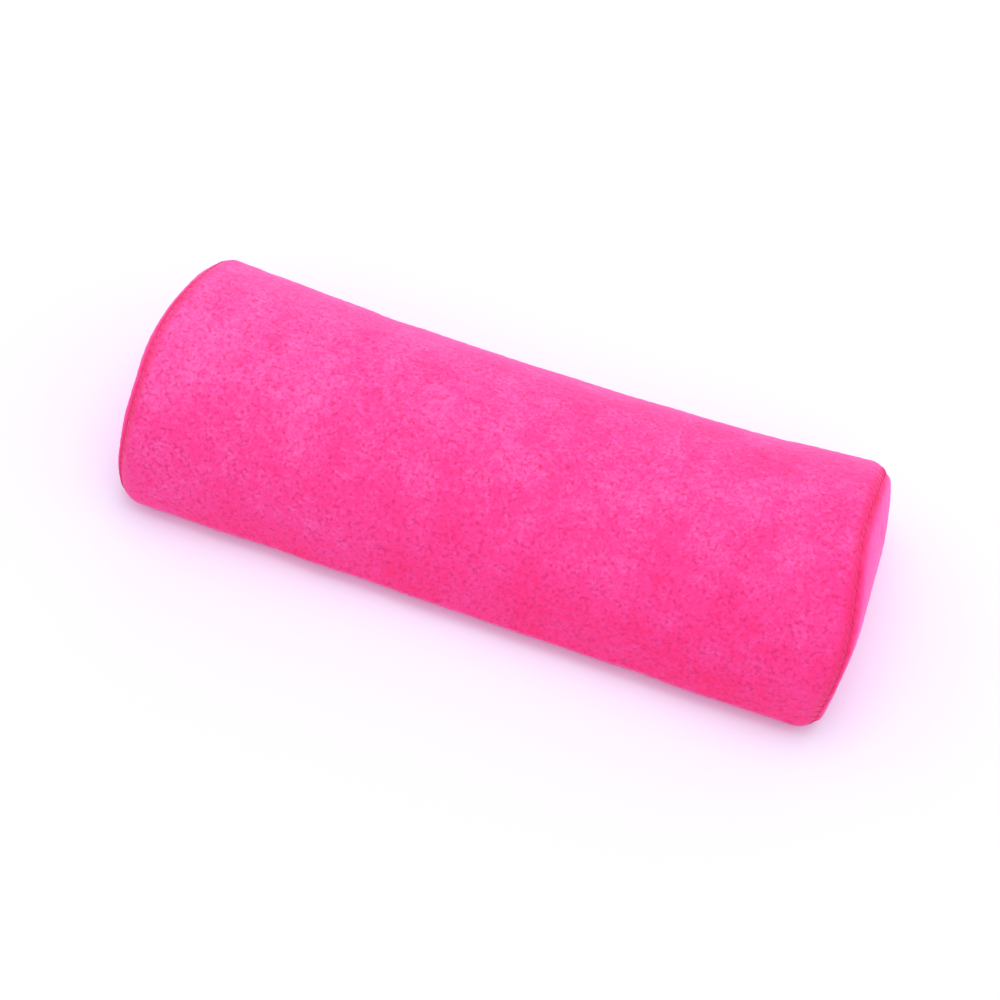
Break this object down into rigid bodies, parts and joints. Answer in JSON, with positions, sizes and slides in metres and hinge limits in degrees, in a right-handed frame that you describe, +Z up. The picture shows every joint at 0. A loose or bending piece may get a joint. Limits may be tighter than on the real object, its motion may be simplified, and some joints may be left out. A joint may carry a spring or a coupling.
{
  "type": "manicure hand rest",
  "caption": "Half-round foam cushion for resting the hands during a manicure, in a short-pile plush cover with domed ends and a zip in its flat base.",
  "frame": {"origin": "middle of the flat base, on the surface that the rest stands on", "axes": "+X along the rest, +Y away from the sitter, +Z up through the crown"},
  "size_m": [0.3, 0.119, 0.0661],
  "materials": {
    "plush": "hot pink short-pile polyester plush, matte, with a lighter lilac sheen where the pile is seen edge on",
    "plush_panel": "the same plush stretched smooth over the domed ends, a little lighter",
    "foam": "off-white open-cell polyurethane foam",
    "zip_tape": "woven polyester tape dyed to match",
    "nylon_coil": "nylon monofilament coil dyed to match",
    "zinc": "die-cast zinc, nickel plated"
  },
  "bodies": {
    "cushion": {"foam_core": "foam", "cover_wrap": "plush", "end_panel_left": "plush_panel", "end_panel_right": "plush_panel", "zip_tape_front": "zip_tape", "zip_tape_back": "zip_tape", "zip_coil_front": "nylon_coil", "zip_coil_back": "nylon_coil", "zip_top_stop_front": "zinc", "zip_top_stop_back": "zinc", "zip_bottom_stop": "zinc"},
    "slider": {"zip_slider": "zinc"},
    "pull": {"zip_pull": "zinc"}
  },
  "joints": [
    {"name": "zip_slide", "type": "slide", "parent": "cushion", "child": "slider", "axis": [-1, 0, 0], "range_m": [0, 0.2406]},
    {"name": "pull_hinge", "type": "hinge", "parent": "slider", "child": "pull", "pos_m": [0.1203, 0, 0.0038], "axis": [0, -1, 0], "range_deg": [0, 180]}
  ]
}
